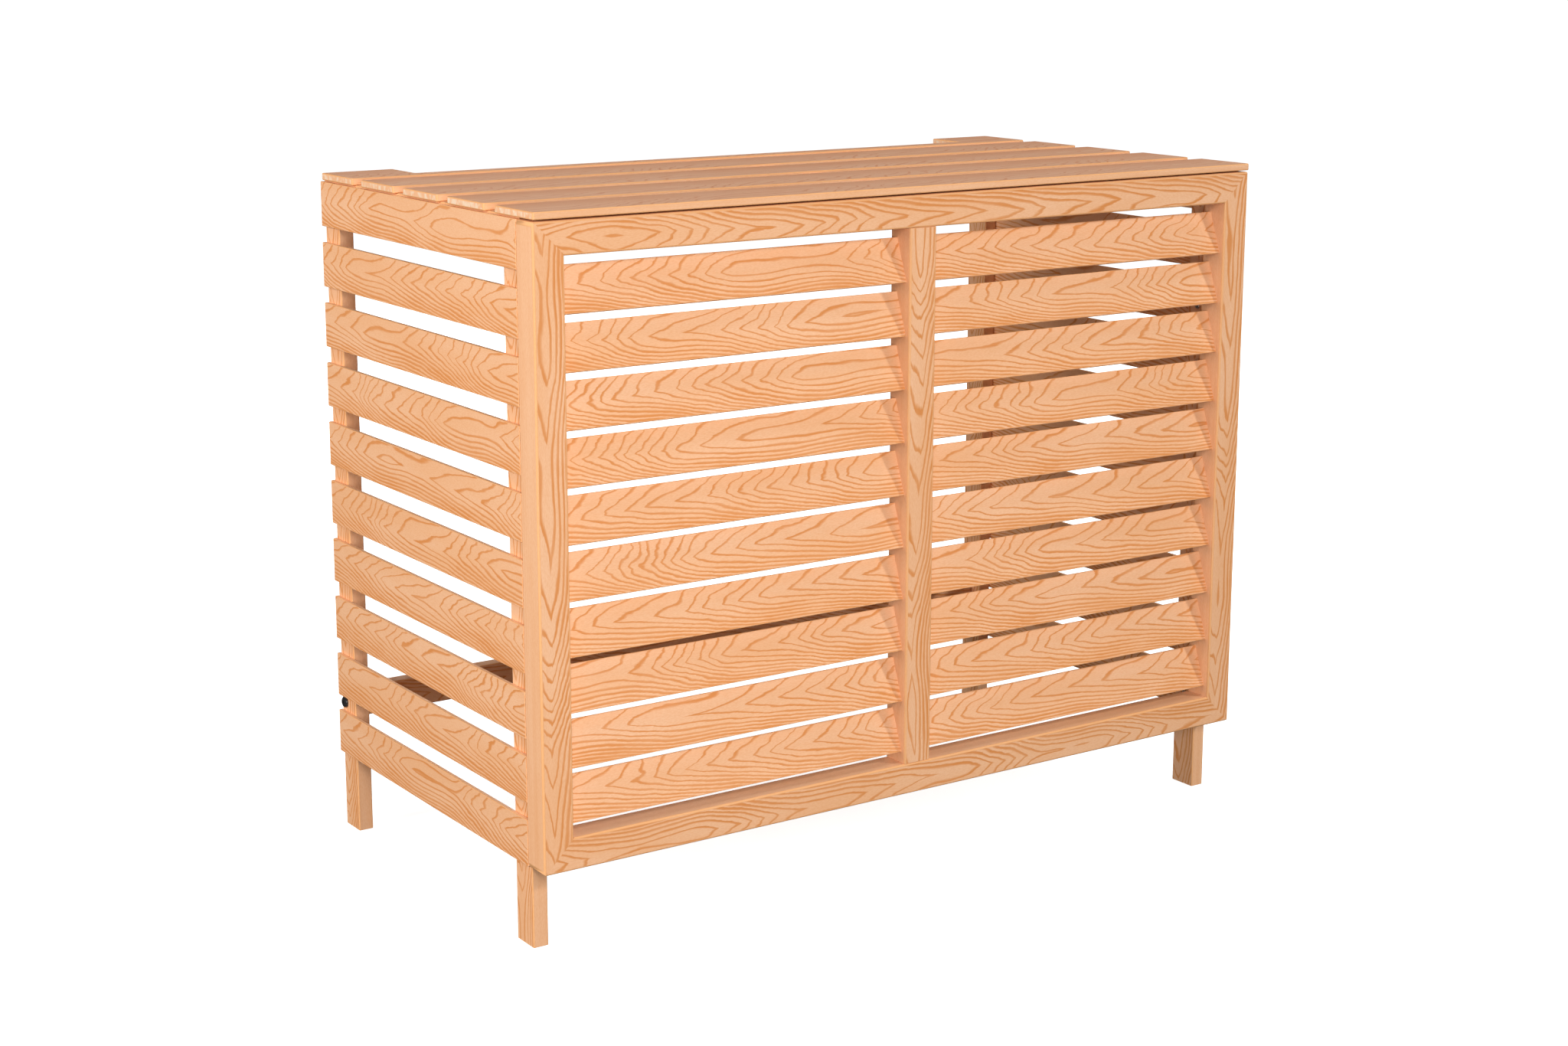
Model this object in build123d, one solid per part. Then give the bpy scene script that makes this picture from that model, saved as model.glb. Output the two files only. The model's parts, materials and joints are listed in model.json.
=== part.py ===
from build123d import *

import os

# Slatted and louvred cover for an outdoor air-conditioning unit, in wood.
# Millimetres, +Z up, the front faces -Y. The origin is on the ground, under the
# middle of the cover. Every member is a solid of its own, in a node of its own.

# Front frame: four mitred members and a middle post of one square section
WIDTH = 1080.0
FRAME_SECTION = 40.0
FRAME_ROUNDING = 2.5
FRAME_CORNER_ROUNDING = 3.0

# Side slats and louvres share one flat section
SLAT_HEIGHT = 57.2
SLAT_THICKNESS = 5.5
SLAT_ROUNDING = 0.8
SLAT_COUNT = 10
SLAT_GAP = 21.0
SIDE_LENGTH = 524.0

# Louvres lean back at the top, in shallow housings in the stiles and the middle post
LOUVRE_COUNT = 10
LOUVRE_PITCH = 66.6
LOUVRE_TILT = 20.0
HOUSING_DEPTH = 3.0

# Legs, rear rails and bearers share one batten section
BATTEN_WIDE = 40.0
BATTEN_THIN = 20.0
BATTEN_ROUNDING = 1.5
GROUND_CLEARANCE = 103.0
REAR_RAIL_MIDDLE = 69.0

# Top boards, lying clear of the frame on the bearers
BOARD_COUNT = 5
BOARD_WIDTH = 91.5
BOARD_GAP = 26.0
BOARD_THICKNESS = 9.0
BOARD_ROUNDING = 1.6
BOARD_CORNER = 2.5
BOARD_LIFT = 2.0
BOARD_OVERHANG = 1.5
LUG_WIDTH = 100.0
STRIP_WIDTH = 25.0

# Button-head bolts
BOLT_RADIUS = 3.0
BOLT_HEAD_RADIUS = 7.5
BOLT_HEAD_HEIGHT = 4.0
BOLT_DOME_RADIUS = 3.2
BOLT_SOCKET_RADIUS = 2.3
BOLT_SOCKET_DEPTH = 2.2
BOLT_SOCKET_SIDES = 6
RAIL_BOLT_LENGTH = 50.0
FRAME_BOLT_LENGTH = 65.0
FRAME_BOLT_GAPS = (1, 4, 7)

# Pan-head screws, driven from inside so that none shows outside
SCREW_RADIUS = 2.0
SCREW_HEAD_RADIUS = 4.0
SCREW_HEAD_HEIGHT = 2.4
SCREW_BITE = 4.0
SCREW_FROM_BOARD_EDGE = 18.0
STRIP_SCREW_SPACING = 400.0

# Worked out from the sizes above
HALF_WIDTH = WIDTH / 2
FRAME_HEIGHT = SLAT_COUNT * SLAT_HEIGHT + (SLAT_COUNT - 1) * SLAT_GAP
SLAT_PITCH = SLAT_HEIGHT + SLAT_GAP
BOARD_PITCH = BOARD_WIDTH + BOARD_GAP
FRONT = BOARD_OVERHANG - (BOARD_OVERHANG + FRAME_SECTION + SIDE_LENGTH) / 2
FRAME_BACK = FRONT + FRAME_SECTION
REAR = FRAME_BACK + SIDE_LENGTH
FRAME_BOTTOM = GROUND_CLEARANCE
FRAME_TOP = FRAME_BOTTOM + FRAME_HEIGHT
BOARD_BOTTOM = FRAME_TOP + BOARD_LIFT
LEG_TOP = BOARD_BOTTOM - BATTEN_THIN
LEG_OUTSIDE = HALF_WIDTH - SLAT_THICKNESS
LEG_INSIDE = LEG_OUTSIDE - BATTEN_THIN
BEARER_INSIDE = LEG_OUTSIDE - BATTEN_WIDE
FIRST_BOARD_FRONT = FRONT - BOARD_OVERHANG
LAST_BOARD_FRONT = FIRST_BOARD_FRONT + (BOARD_COUNT - 1) * BOARD_PITCH
STRIP_BACK = LAST_BOARD_FRONT + STRIP_WIDTH
SCREW_LENGTH = BATTEN_THIN + SCREW_BITE
REAR_RAIL_HEIGHT = FRAME_BOTTOM + REAR_RAIL_MIDDLE
SIDES = {"left": -1, "right": 1}


def block(x_range, y_range, z_range):
    """A box between two values on each axis."""
    sizes = [high - low for low, high in (x_range, y_range, z_range)]
    middle = [(high + low) / 2 for low, high in (x_range, y_range, z_range)]
    return Pos(*middle) * Box(*sizes)


def bar(x_range, y_range, z_range, along, rounding):
    """A straight bar with its long edges rounded."""
    shape = block(x_range, y_range, z_range)
    return fillet(shape.edges().filter_by(along), rounding)


def ordered(first, second):
    """Two values as a low and a high one."""
    return (min(first, second), max(first, second))


def slat_bottom(index):
    """Height of the lower edge of a side slat, counted from the top."""
    return FRAME_TOP - SLAT_HEIGHT - index * SLAT_PITCH


def gap_middle(index):
    """Height of the middle of the gap under a side slat, counted from the top."""
    return slat_bottom(index) - SLAT_GAP / 2


def leg_range(row):
    """Where a front or a rear leg begins and ends along the depth."""
    if row == "front":
        return (FRAME_BACK, FRAME_BACK + BATTEN_WIDE)
    return (REAR - BATTEN_WIDE, REAR)


# Fasteners


def button_bolt(length):
    """A button-head bolt along +Z, its head's underside at the origin."""
    dome = Pos(0, 0, -BOLT_HEAD_HEIGHT / 2) * Cylinder(BOLT_HEAD_RADIUS, BOLT_HEAD_HEIGHT)
    outer_rim = dome.edges().filter_by(GeomType.CIRCLE).sort_by(Axis.Z)[0]
    dome = fillet(outer_rim, BOLT_DOME_RADIUS)
    hexagon = RegularPolygon(BOLT_SOCKET_RADIUS, BOLT_SOCKET_SIDES)
    socket = Pos(0, 0, -BOLT_HEAD_HEIGHT) * extrude(hexagon, BOLT_SOCKET_DEPTH)
    shank = Pos(0, 0, length / 2) * Cylinder(BOLT_RADIUS, length)
    return dome - socket + shank


def pan_screw():
    """A pan-head screw along +Z, its head's underside at the origin."""
    head = Pos(0, 0, -SCREW_HEAD_HEIGHT / 2) * Cylinder(SCREW_HEAD_RADIUS, SCREW_HEAD_HEIGHT)
    outer_rim = head.edges().filter_by(GeomType.CIRCLE).sort_by(Axis.Z)[0]
    head = fillet(outer_rim, SCREW_HEAD_HEIGHT / 2)
    shank = Pos(0, 0, SCREW_LENGTH / 2) * Cylinder(SCREW_RADIUS, SCREW_LENGTH)
    return head + shank


def rail_bolt_places():
    """Through the rear legs into the ends of the lower rear rail."""
    depth = REAR - BATTEN_THIN / 2
    return [
        Pos(side * LEG_OUTSIDE, depth, REAR_RAIL_HEIGHT) * Rot(0, -side * 90, 0)
        for side in SIDES.values()
    ]


def frame_bolt_places():
    """Through the front legs into the backs of the stiles."""
    across = LEG_OUTSIDE - BATTEN_THIN / 2
    head_face = FRAME_BACK + BATTEN_WIDE
    return [
        Pos(side * across, head_face, gap_middle(gap)) * Rot(90, 0, 0)
        for side in SIDES.values()
        for gap in FRAME_BOLT_GAPS
    ]


def slat_screw_places():
    """From the inner faces of the legs into the side slats."""
    places = []
    for side in SIDES.values():
        for row in ("front", "rear"):
            depth = sum(leg_range(row)) / 2
            for index in range(SLAT_COUNT):
                height = slat_bottom(index) + SLAT_HEIGHT / 2
                turn = Rot(0, side * 90, 0)
                places.append(Pos(side * LEG_INSIDE, depth, height) * turn)
    return places


def board_screw_places():
    """From under the bearers and the upper rear rail into the top boards."""
    places = []
    side_line = (LEG_INSIDE + BEARER_INSIDE) / 2
    for index in range(BOARD_COUNT):
        front = FIRST_BOARD_FRONT + index * BOARD_PITCH
        near = front + SCREW_FROM_BOARD_EDGE
        far = front + BOARD_WIDTH - SCREW_FROM_BOARD_EDGE
        lines = [-side_line, side_line]
        if index < BOARD_COUNT - 1:
            lines.append(0)
        first = max(near, FRAME_BACK + SCREW_FROM_BOARD_EDGE)
        places += [Pos(x, y, LEG_TOP) for x in lines for y in (first, far)]
    strip_line = LAST_BOARD_FRONT + STRIP_WIDTH / 2
    for offset in (-STRIP_SCREW_SPACING, 0, STRIP_SCREW_SPACING):
        places.append(Pos(offset, strip_line, LEG_TOP))
    return places


def bores(places, radius, length):
    """Cylinders that clear the shanks of fasteners."""
    shank = Pos(0, 0, length / 2) * Cylinder(radius, length)
    return [place * shank for place in places]


RAIL_BORES = bores(rail_bolt_places(), BOLT_RADIUS, RAIL_BOLT_LENGTH)
FRAME_BORES = bores(frame_bolt_places(), BOLT_RADIUS, FRAME_BOLT_LENGTH)
SLAT_BORES = bores(slat_screw_places(), SCREW_RADIUS, SCREW_LENGTH)
BOARD_BORES = bores(board_screw_places(), SCREW_RADIUS, SCREW_LENGTH)


def drilled(shape, cutters):
    """A shape with the bores taken out that meet its box."""
    box = shape.bounding_box()
    met = [cutter for cutter in cutters if box_meets(box, cutter.bounding_box())]
    return shape - met if met else shape


def box_meets(first, second):
    """Whether two bounding boxes share some volume."""
    pairs = zip(first.min, first.max, second.min, second.max)
    return all(low_a < high_b and low_b < high_a for low_a, high_a, low_b, high_b in pairs)


# Front frame


def frame_outline():
    """The whole front frame as one slab with rounded corners, to trim its members."""
    outline = RectangleRounded(WIDTH, FRAME_HEIGHT, FRAME_CORNER_ROUNDING)
    slab = extrude(outline, FRAME_SECTION / 2, both=True)
    return Pos(0, FRONT + FRAME_SECTION / 2, FRAME_BOTTOM + FRAME_HEIGHT / 2) * Rot(90, 0, 0) * slab


def mitre_wedge(points):
    """A prism through the frame's depth over points given as (x, z)."""
    outline = Plane.XZ * make_face(Polyline(*points, close=True))
    return Pos(0, FRONT + FRAME_SECTION / 2, 0) * extrude(outline, FRAME_SECTION, both=True)


def frame_rail(at_top):
    """The top or the bottom member of the front frame, mitred at both ends."""
    outer = FRAME_TOP if at_top else FRAME_BOTTOM
    inner = outer - FRAME_SECTION if at_top else outer + FRAME_SECTION
    inner_half = HALF_WIDTH - FRAME_SECTION
    shape = bar(
        (-HALF_WIDTH, HALF_WIDTH), (FRONT, FRAME_BACK), ordered(outer, inner), Axis.X, FRAME_ROUNDING
    )
    wedge = mitre_wedge(
        [(-HALF_WIDTH, outer), (HALF_WIDTH, outer), (inner_half, inner), (-inner_half, inner)]
    )
    return shape & wedge & frame_outline()


def frame_stile(side, louvres):
    """The left or the right member of the front frame, mitred and housed for the louvres."""
    outer = side * HALF_WIDTH
    inner = outer - side * FRAME_SECTION
    shape = bar(
        ordered(outer, inner), (FRONT, FRAME_BACK), (FRAME_BOTTOM, FRAME_TOP), Axis.Z, FRAME_ROUNDING
    )
    wedge = mitre_wedge(
        [
            (outer, FRAME_BOTTOM),
            (outer, FRAME_TOP),
            (inner, FRAME_TOP - FRAME_SECTION),
            (inner, FRAME_BOTTOM + FRAME_SECTION),
        ]
    )
    return drilled((shape & wedge & frame_outline()) - louvres, FRAME_BORES)


def middle_post(louvres):
    """The upright between the two louvre bays."""
    half = FRAME_SECTION / 2
    z_range = (FRAME_BOTTOM + FRAME_SECTION, FRAME_TOP - FRAME_SECTION)
    return bar((-half, half), (FRONT, FRAME_BACK), z_range, Axis.Z, FRAME_ROUNDING) - louvres


def louvre(side, index):
    """One louvre of a bay, counted from the top, its ends in the housings."""
    stack = (LOUVRE_COUNT - 1) * LOUVRE_PITCH
    middle = (FRAME_BOTTOM + FRAME_TOP + stack) / 2 - index * LOUVRE_PITCH
    near = FRAME_SECTION / 2 - HOUSING_DEPTH
    far = HALF_WIDTH - FRAME_SECTION + HOUSING_DEPTH
    x_range = ordered(side * near, side * far)
    half_thickness = SLAT_THICKNESS / 2
    half_height = SLAT_HEIGHT / 2
    y_range = (-half_thickness, half_thickness)
    blade = bar(x_range, y_range, (-half_height, half_height), Axis.X, SLAT_ROUNDING)
    return Pos(0, FRONT + FRAME_SECTION / 2, middle) * Rot(-LOUVRE_TILT, 0, 0) * blade


# Sides, legs and rails


def side_slat(side, index):
    """One slat of a side, counted from the top, on the outer faces of two legs."""
    x_range = ordered(side * HALF_WIDTH, side * LEG_OUTSIDE)
    bottom = slat_bottom(index)
    z_range = (bottom, bottom + SLAT_HEIGHT)
    shape = bar(x_range, (FRAME_BACK, REAR), z_range, Axis.Y, SLAT_ROUNDING)
    return drilled(shape, SLAT_BORES)


def leg(side, row):
    """One leg, standing behind the front frame or at the rear."""
    x_range = ordered(side * LEG_OUTSIDE, side * LEG_INSIDE)
    shape = bar(x_range, leg_range(row), (0, LEG_TOP), Axis.Z, BATTEN_ROUNDING)
    return drilled(shape, SLAT_BORES + RAIL_BORES + FRAME_BORES)


def rear_lower_rail():
    """The rail low down between the rear legs."""
    z_range = (REAR_RAIL_HEIGHT - BATTEN_WIDE / 2, REAR_RAIL_HEIGHT + BATTEN_WIDE / 2)
    y_range = (REAR - BATTEN_THIN, REAR)
    shape = bar((-LEG_INSIDE, LEG_INSIDE), y_range, z_range, Axis.X, BATTEN_ROUNDING)
    return drilled(shape, RAIL_BORES)


def rear_upper_rail():
    """The rail under the narrow strip of the last board, between the side bearers."""
    y_range = (STRIP_BACK - BATTEN_WIDE, STRIP_BACK)
    x_range = (-BEARER_INSIDE, BEARER_INSIDE)
    shape = bar(x_range, y_range, (LEG_TOP, BOARD_BOTTOM), Axis.X, BATTEN_ROUNDING)
    return drilled(shape, BOARD_BORES)


def side_bearer(side):
    """A batten laid flat on the tops of a front and a rear leg."""
    x_range = ordered(side * LEG_OUTSIDE, side * BEARER_INSIDE)
    shape = bar(x_range, (FRAME_BACK, REAR), (LEG_TOP, BOARD_BOTTOM), Axis.Y, BATTEN_ROUNDING)
    return drilled(shape, BOARD_BORES)


def middle_bearer():
    """A batten from the top frame member back to the upper rear rail."""
    half = BATTEN_WIDE / 2
    y_range = (FRAME_BACK, STRIP_BACK - BATTEN_WIDE)
    shape = bar((-half, half), y_range, (LEG_TOP, BOARD_BOTTOM), Axis.Y, BATTEN_ROUNDING)
    return drilled(shape, BOARD_BORES)


# Top


def top_board(index):
    """One board of the top, counted from the front; the last one has a notch for pipework."""
    front = FIRST_BOARD_FRONT + index * BOARD_PITCH
    back = front + BOARD_WIDTH
    z_range = (BOARD_BOTTOM, BOARD_BOTTOM + BOARD_THICKNESS)
    shape = block((-HALF_WIDTH, HALF_WIDTH), (front, back), z_range)
    if index == BOARD_COUNT - 1:
        lug_edge = HALF_WIDTH - LUG_WIDTH
        shape -= block((-lug_edge, lug_edge), (STRIP_BACK, back + BOARD_GAP), z_range)
    shape = fillet(shape.edges().filter_by(Axis.Z), BOARD_CORNER)
    flat_faces = shape.faces().filter_by(Axis.Z)
    shape = fillet(flat_faces.edges(), BOARD_ROUNDING)
    return drilled(shape, BOARD_BORES)


def all_nodes():
    """Every node's name with its shape."""
    nodes = {}
    every_blade = []
    for name, side in SIDES.items():
        blades = [louvre(side, index) for index in range(LOUVRE_COUNT)]
        nodes[f"front_{name}_stile"] = frame_stile(side, blades)
        for index in range(LOUVRE_COUNT):
            nodes[f"{name}_louvre_{index + 1:02d}"] = blades[index]
        for index in range(SLAT_COUNT):
            nodes[f"{name}_side_slat_{index + 1:02d}"] = side_slat(side, index)
        for row in ("front", "rear"):
            nodes[f"{row}_{name}_leg"] = leg(side, row)
        every_blade += blades
    nodes["middle_post"] = middle_post(every_blade)
    nodes["front_top_rail"] = frame_rail(at_top=True)
    nodes["front_bottom_rail"] = frame_rail(at_top=False)
    nodes["rear_lower_rail"] = rear_lower_rail()
    nodes["rear_upper_rail"] = rear_upper_rail()
    nodes["side_bearers"] = Compound(children=[side_bearer(side) for side in SIDES.values()])
    nodes["middle_bearer"] = middle_bearer()
    for index in range(BOARD_COUNT):
        nodes[f"top_board_{index + 1}"] = top_board(index)
    bolts = [place * button_bolt(RAIL_BOLT_LENGTH) for place in rail_bolt_places()]
    bolts += [place * button_bolt(FRAME_BOLT_LENGTH) for place in frame_bolt_places()]
    nodes["assembly_bolts"] = Compound(children=bolts)
    screws = [place * pan_screw() for place in slat_screw_places() + board_screw_places()]
    nodes["inside_screws"] = Compound(children=screws)
    return nodes


def main():
    os.makedirs("parts", exist_ok=True)
    for name, shape in all_nodes().items():
        export_step(shape, f"parts/{name}.step")


main()
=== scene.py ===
# Louvred wooden cover for an outdoor air-conditioning unit, made as a Blender add-on and run as a script.
# Metres, +Z up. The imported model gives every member's place; each operator below makes one kind of member.

import json
import math
import random
from collections import namedtuple

import bmesh
import bpy
from mathutils import Euler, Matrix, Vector

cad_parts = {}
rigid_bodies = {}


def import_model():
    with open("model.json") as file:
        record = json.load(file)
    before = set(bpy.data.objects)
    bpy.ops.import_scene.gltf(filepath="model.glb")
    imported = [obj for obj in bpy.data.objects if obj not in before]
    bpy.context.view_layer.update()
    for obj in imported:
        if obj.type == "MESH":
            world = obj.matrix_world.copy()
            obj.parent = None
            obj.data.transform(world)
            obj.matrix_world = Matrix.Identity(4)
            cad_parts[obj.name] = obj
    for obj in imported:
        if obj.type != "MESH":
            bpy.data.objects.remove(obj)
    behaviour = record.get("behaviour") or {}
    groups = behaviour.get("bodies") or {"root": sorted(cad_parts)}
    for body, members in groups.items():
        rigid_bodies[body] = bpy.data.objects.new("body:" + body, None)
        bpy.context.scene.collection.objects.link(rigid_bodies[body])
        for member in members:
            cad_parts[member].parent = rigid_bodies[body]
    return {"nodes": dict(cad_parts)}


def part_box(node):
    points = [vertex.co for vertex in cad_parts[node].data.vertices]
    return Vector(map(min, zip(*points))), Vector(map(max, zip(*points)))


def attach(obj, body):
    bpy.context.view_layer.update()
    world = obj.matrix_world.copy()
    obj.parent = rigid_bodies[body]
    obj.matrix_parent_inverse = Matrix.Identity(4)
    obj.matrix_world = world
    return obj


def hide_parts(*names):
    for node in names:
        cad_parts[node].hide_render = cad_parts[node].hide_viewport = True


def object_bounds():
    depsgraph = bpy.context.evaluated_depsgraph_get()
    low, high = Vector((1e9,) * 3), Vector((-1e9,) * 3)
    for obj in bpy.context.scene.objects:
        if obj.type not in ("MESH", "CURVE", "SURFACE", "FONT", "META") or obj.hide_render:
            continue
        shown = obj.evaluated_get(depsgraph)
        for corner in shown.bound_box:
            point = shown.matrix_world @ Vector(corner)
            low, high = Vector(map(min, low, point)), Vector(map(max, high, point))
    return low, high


bl_info = {
    "name": "Louvred Outdoor Unit Cover",
    "version": (1, 0, 0),
    "blender": (4, 5, 0),
    "location": "View3D > Sidebar > Cover",
    "description": "Makes a slatted and louvred wooden cover with its stage",
    "category": "Object",
}

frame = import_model()
CAD_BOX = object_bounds()
CENTRE = (CAD_BOX[0] + CAD_BOX[1]) / 2

BODY = "root"

# Members
MEMBER_COUNT = 10
BOARD_COUNT = 5
SIDES = ("left", "right")
ROWS = ("front", "rear")
AXES = {"X": 0, "Y": 1, "Z": 2}
LEFTWARD = (-1.0, 0.0, 0.0)
RIGHTWARD = (1.0, 0.0, 0.0)
REARWARD = (0.0, 1.0, 0.0)
DOWNWARD = (0.0, 0.0, -1.0)

# Steps of the eased edges
EASING_STEPS = 3
FRAME_EASING_STEPS = 4
BOARD_CORNER_STEPS = 4
END_STEPS = 1
CORNER_CUTS = 5
STRAIGHT = 0.999
SMOOTH_ANGLE = math.radians(40)

# Grain map: its name, its face attributes, and how far along the stock each member and face lies
GRAIN_MAP = "grain"
FIGURE = "figure"
EASED = "eased"
SAWN = "sawn"
GRAIN_STOCK = 40.0
FACE_STEP = 7.0

# Seeds of the members' places along the stock, each followed by those of its like
LOUVRE_SEED = 100
SLAT_SEED = 200
STILE_SEED = 300
FRAME_RAIL_SEED = 310
POST_SEED = 320
LEG_SEED = 400
RAIL_SEED = 500
BEARER_SEED = 510
BOARD_SEED = 600

# Noises: features to a metre along and across the grain, detail, and a layer that keeps them apart.
# A swing also has its size, and spots have the levels where they begin and are full.
Noise = namedtuple("Noise", "along across detail layer")
Swing = namedtuple("Swing", "noise size")
Spots = namedtuple("Spots", "noise start full")

# Shape of the flames, in metres and rings
WAVE = Swing(Noise(14.0, 26.0, 3.0, 5.1), 0.046)
SHIVER = Swing(Noise(48.0, 95.0, 2.0, 7.4), 0.010)
WANDER = Swing(Noise(3.0, 0.0, 1.0, 1.7), 0.036)
TURN = Swing(Noise(3.2, 2.0, 1.0, 9.3), 16.0)
CURL = Swing(Noise(9.0, 30.0, 2.0, 3.9), 1.6)
SPINE_OFFSET = 0.004
CLOSE_ARM_SLOPE = 95.0
CLOSE_ARM_BEND = 2400.0
OPEN_ARM_SLOPE = 58.0
SLOPE_STEP = 0.02
LEAST_CROWDING = 46.0
CLOSE_CROWDING = 3800.0

# Strokes of late wood: how broad, how frayed, and how dark from their sharp side to their soft side
FIBRE = Noise(70.0, 1300.0, 2.0, 2.2)
FRAYING = 0.0026
BREADTH = Swing(Noise(14.0, 40.0, 1.0, 4.2), 0.0024)
RING_BREADTH = 0.0009
STROKE_REACH = 0.25
STROKE_PROFILE = ((0.0, 0.0), (0.14, 0.0), (0.30, 0.62), (0.42, 1.0), (0.66, 0.96), (0.76, 0.0), (1.0, 0.0))
STROKE_STRENGTH = 0.94
UNEVEN = Swing(Noise(12.0, 90.0, 2.0, 6.6), 0.8)

# Plain lines, patches, pores and dry wood, and how strongly each shows
STRAW = Spots(Noise(2.0, 330.0, 3.0, 8.8), 0.46, 0.68)
PATCHES = Spots(Noise(5.0, 34.0, 3.0, 4.4), 0.32, 0.68)
PORES = Spots(Noise(240.0, 1500.0, 2.0, 7.7), 0.38, 0.66)
DRY = Spots(Noise(90.0, 160.0, 4.0, 6.1), 0.44, 0.60)
STRAW_STRENGTH = 0.16
PORE_STRENGTH = 0.26
EDGE_STRENGTH = 0.55
DRY_STRENGTH = 0.7

# Gloss and relief of the wood
LINE_DULLNESS = 0.06
DRY_DULLNESS = 0.2
FIBRE_DULLNESS = 0.16
LINE_RELIEF = -0.35
PORE_RELIEF = -0.3
FIBRE_RELIEF = 0.8
WOOD_RELIEF = {"distance": 0.00010, "strength": 0.5}

# Woods that differ from the common one; the board wood's shade is the share of painted sheen and shade on
# the boards' top and bottom faces
WOODS = {
    "board_wood": {"shade": 0.28, "strength": 1.0},
    "frame_wood": {"thickness": 0.0021, "pace": 22.0},
}

# Metals: colour, roughness and metallic share, with dull patches
Metal = namedtuple("Metal", "colour roughness metallic")
METALS = {
    "black_steel": Metal((0.012, 0.012, 0.013), 0.22, 0.0),
    "screw_steel": Metal((0.42, 0.41, 0.39), 0.34, 1.0),
}
DULL_PATCHES = Noise(260.0, 260.0, 3.0, 1.1)
PATCH_BRIGHTENING = 1.8
PATCH_LIFT = 0.01
GLOSSIER = -0.05
PATCH_DULLNESS = 0.12
METAL_RELIEF = {"distance": 0.00005, "strength": 0.4}

# Stage
WHITE = (1.0, 1.0, 1.0, 1.0)
MATT_WHITE = (0.85, 0.85, 0.85, 1.0)
FLOOR_SIDES = 96
ROOM_SEGMENTS = 48
ROOM_RINGS = 24
SENSOR_WIDTH = 36.0

# Soft lights: power setting, bearing to the right of straight ahead, height, distance, width and height of
# the panel, colour, and whether the finish mirrors it
Softbox = namedtuple("Softbox", "name power turn height distance width tall colour mirrored")
COOL_LIGHT = (0.96, 0.98, 1.0)
WARM_LIGHT = (1.0, 0.98, 0.95)
WHITE_LIGHT = (1.0, 1.0, 1.0)
SOFTBOXES = (
    Softbox("key_right", "key_power", 42, 26, 6.5, 0.52, 0.52, COOL_LIGHT, False),
    Softbox("broad_front", "front_power", -22, 21, 7.0, 2.2, 2.2, WARM_LIGHT, True),
    Softbox("broad_left", "side_power", -93, 18, 5.0, 2.0, 2.0, WARM_LIGHT, False),
    Softbox("low_left", "low_power", -32, 2, 2.6, 0.9, 0.6, WARM_LIGHT, True),
    Softbox("above", "top_power", 20, 78, 3.5, 1.6, 1.6, WHITE_LIGHT, True),
    Softbox("broad_right", "far_power", 98, 20, 5.0, 2.0, 2.0, WHITE_LIGHT, False),
    Softbox("broad_back", "back_power", 165, 21, 5.0, 2.2, 1.8, WHITE_LIGHT, False),
)


# Settings


class WoodSettings(bpy.types.PropertyGroup):
    """Colours and gloss of the wood finish."""

    base: bpy.props.FloatVectorProperty(
        name="Base", description="Colour of the pale wood", subtype="COLOR", default=(0.90, 0.500, 0.272)
    )
    pale: bpy.props.FloatVectorProperty(
        name="Pale", description="Lighter patches of wood", subtype="COLOR", default=(0.93, 0.556, 0.335)
    )
    line: bpy.props.FloatVectorProperty(
        name="Grain", description="Colour of the grain lines", subtype="COLOR", default=(0.74, 0.285, 0.085)
    )
    edge: bpy.props.FloatVectorProperty(
        name="Edge", description="Colour where the finish gathers on eased edges", subtype="COLOR",
        default=(0.86, 0.42, 0.15),
    )
    sawn: bpy.props.FloatVectorProperty(
        name="Sawn", description="Dry pale wood of sawn ends", subtype="COLOR", default=(0.90, 0.74, 0.58)
    )
    # Painted sheen and shade: a greyer, pinker, darker colour laid over the top boards in place of the
    # reflection they catch at grazing angles and of dimmer light on their tops
    painted_sheen: bpy.props.FloatVectorProperty(
        name="Painted_sheen", description="Greyer, pinker tone of the top boards", subtype="COLOR",
        default=(0.74, 0.45, 0.39),
    )
    roughness: bpy.props.FloatProperty(
        name="Roughness", description="Roughness of the satin finish", default=0.46, min=0.1, max=1.0
    )


class ShapeSettings(bpy.types.PropertyGroup):
    """Eased edges of the members."""

    frame_easing: bpy.props.FloatProperty(
        name="Frame easing", description="Rounding of the frame's long edges", unit="LENGTH", default=0.0025
    )
    frame_corner: bpy.props.FloatProperty(
        name="Frame corner", description="Rounding of the outer corners", unit="LENGTH", default=0.003
    )
    slat_easing: bpy.props.FloatProperty(
        name="Slat easing", description="Rounding of slats and louvres", unit="LENGTH", default=0.0008
    )
    batten_easing: bpy.props.FloatProperty(
        name="Batten easing", description="Rounding of legs and rails", unit="LENGTH", default=0.0015
    )
    louvre_tilt: bpy.props.FloatProperty(
        name="Louvre tilt", description="How far the louvres lean back", subtype="ANGLE",
        default=math.radians(20.0),
    )
    lug_width: bpy.props.FloatProperty(
        name="Lug", description="Full-width ends of the rear board", unit="LENGTH", default=0.100
    )
    strip_width: bpy.props.FloatProperty(
        name="Strip", description="Strip left in front of the pipe notch", unit="LENGTH", default=0.025
    )
    board_easing: bpy.props.FloatProperty(
        name="Board easing", description="Rounding of the top boards", unit="LENGTH", default=0.0016
    )
    board_corner: bpy.props.FloatProperty(
        name="Board corner", description="Corner radius of the top boards", unit="LENGTH", default=0.0025
    )
    end_easing: bpy.props.FloatProperty(
        name="End easing", description="Fine easing of sawn ends", unit="LENGTH", default=0.0004
    )


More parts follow.
